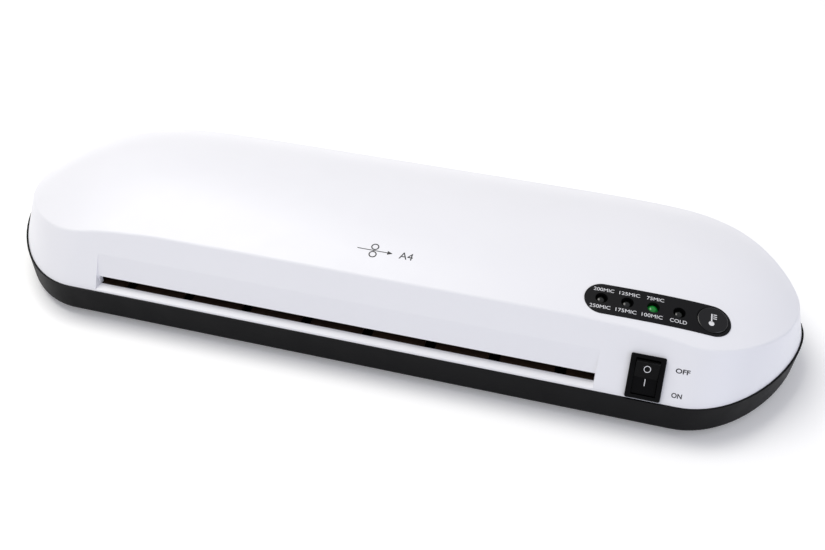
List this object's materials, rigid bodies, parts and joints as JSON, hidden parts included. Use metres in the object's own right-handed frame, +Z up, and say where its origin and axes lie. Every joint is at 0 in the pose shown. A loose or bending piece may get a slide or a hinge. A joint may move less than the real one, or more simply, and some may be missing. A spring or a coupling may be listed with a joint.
{
  "type": "pouch laminator",
  "caption": "Desktop pouch laminator for A4 pouches: domed cover with a front entry slot, black base, control panel, rocker switch, heated tunnel and geared roller pairs.",
  "frame": {"origin": "bottom centre of the whole object, on the plane the feet rest on", "axes": "+X to the right of the person feeding a pouch, entry slot faces -Y, +Z up"},
  "size_m": [0.4, 0.138, 0.0498],
  "materials": {
    "white_shell": "satin gloss",
    "black_base": "fine matte",
    "black_panel": "satin",
    "black_button": "gloss",
    "switch_black": "gloss",
    "lamp_clear": "tinted lens",
    "lamp_green": "lit lens",
    "foot_rubber": "matte",
    "steel": "turned",
    "zinc_plate": "zinc plated",
    "silicone": "matte",
    "gear_nylon": "moulded",
    "bronze": "sintered",
    "aluminium": "extruded",
    "guide_brown": "moulded",
    "board_green": "solder mask",
    "component_dark": "moulded",
    "core_steel": "laminated",
    "heater_film": "insulating film",
    "motor_steel": "zinc plated",
    "gland_black": "moulded"
  },
  "bodies": {
    "housing": {"top_cover": "white_shell", "base_tray": "black_base", "rubber_feet": "foot_rubber", "housing_screws": "steel", "cord_gland": "gland_black", "control_panel": "black_panel", "indicator_thick": "lamp_clear", "indicator_medium": "lamp_clear", "indicator_thin": "lamp_green", "indicator_cold": "lamp_clear", "control_board": "board_green", "control_board_parts": "component_dark", "tact_switch": "component_dark", "control_board_screws": "steel", "switch_housing": "switch_black", "switch_terminals": "bronze", "power_board": "board_green", "transformer": "core_steel", "power_board_parts": "component_dark", "power_board_screws": "steel", "left_side_plate": "zinc_plate", "right_side_plate": "zinc_plate", "frame_tie_rods": "steel", "tie_rod_screws": "steel", "frame_screws": "steel", "entry_guide": "guide_brown", "exit_guide": "guide_brown", "lower_bushes": "bronze", "idler_pin": "steel", "motor_can": "motor_steel", "motor_bracket": "zinc_plate", "motor_screws": "steel", "lower_heating_plate": "aluminium", "upper_heating_plate": "aluminium", "lower_heater_strip": "heater_film", "upper_heater_strip": "heater_film", "thermal_fuse": "component_dark", "thermistor": "component_dark", "front_pressure_springs": "steel", "rear_pressure_springs": "steel"},
    "rocker": {"switch_rocker": "switch_black"},
    "button": {"temperature_button": "black_button"},
    "idler": {"idler_gear": "gear_nylon"},
    "motor_rotor": {"motor_shaft": "steel", "motor_pinion": "gear_nylon"},
    "upper_front_carrier": {"upper_front_bearing_blocks": "gear_nylon"},
    "lower_front_roller": {"lower_front_shaft": "steel", "lower_front_sleeve": "silicone", "lower_front_gear": "gear_nylon"},
    "upper_front_roller": {"upper_front_shaft": "steel", "upper_front_sleeve": "silicone", "upper_front_gear": "gear_nylon"},
    "upper_rear_carrier": {"upper_rear_bearing_blocks": "gear_nylon"},
    "lower_rear_roller": {"lower_rear_shaft": "steel", "lower_rear_sleeve": "silicone", "lower_rear_gear": "gear_nylon"},
    "upper_rear_roller": {"upper_rear_shaft": "steel", "upper_rear_sleeve": "silicone", "upper_rear_gear": "gear_nylon"}
  },
  "joints": [
    {"name": "lower_front_spin", "type": "hinge", "parent": "housing", "child": "lower_front_roller", "pos_m": [0, -0.02, 0.0133], "axis": [1, 0, 0], "continuous": true},
    {"name": "lower_rear_spin", "type": "hinge", "parent": "housing", "child": "lower_rear_roller", "pos_m": [0, 0.02, 0.0133], "axis": [1, 0, 0], "continuous": true},
    {"name": "front_nip_slide", "type": "slide", "parent": "housing", "child": "upper_front_carrier", "axis": [0, 0, 1], "range_m": [0, 0.001], "stiffness_N_per_m": 6000, "springref_m": -0.0015, "deforming": ["front_pressure_springs"]},
    {"name": "rear_nip_slide", "type": "slide", "parent": "housing", "child": "upper_rear_carrier", "axis": [0, 0, 1], "range_m": [0, 0.001], "stiffness_N_per_m": 6000, "springref_m": -0.0015, "deforming": ["rear_pressure_springs"]},
    {"name": "upper_front_spin", "type": "hinge", "parent": "upper_front_carrier", "child": "upper_front_roller", "pos_m": [0, -0.02, 0.0273], "axis": [1, 0, 0], "continuous": true},
    {"name": "upper_rear_spin", "type": "hinge", "parent": "upper_rear_carrier", "child": "upper_rear_roller", "pos_m": [0, 0.02, 0.0273], "axis": [1, 0, 0], "continuous": true},
    {"name": "idler_spin", "type": "hinge", "parent": "housing", "child": "idler", "pos_m": [0, 0, 0.02246], "axis": [1, 0, 0], "continuous": true},
    {"name": "motor_spin", "type": "hinge", "parent": "housing", "child": "motor_rotor", "pos_m": [0, 0.02, 0.02246], "axis": [1, 0, 0], "continuous": true},
    {"name": "switch_rock", "type": "hinge", "parent": "housing", "child": "rocker", "pos_m": [0.1284, -0.06097, 0.02444], "axis": [-1, 0, 0], "range_deg": [0, 24]},
    {"name": "button_press", "type": "slide", "parent": "housing", "child": "button", "axis": [-0.0705, 0.2479, -0.9662], "range_m": [0, 0.001], "stiffness_N_per_m": 400, "springref_m": -0.0006}
  ],
  "couplings": [
    {"joint": "lower_rear_spin", "follows": "lower_front_spin", "ratio": 1},
    {"joint": "upper_front_spin", "follows": "lower_front_spin", "ratio": -1},
    {"joint": "upper_rear_spin", "follows": "lower_front_spin", "ratio": -1},
    {"joint": "idler_spin", "follows": "lower_front_spin", "ratio": -0.46667},
    {"joint": "motor_spin", "follows": "lower_front_spin", "ratio": 1.4}
  ]
}
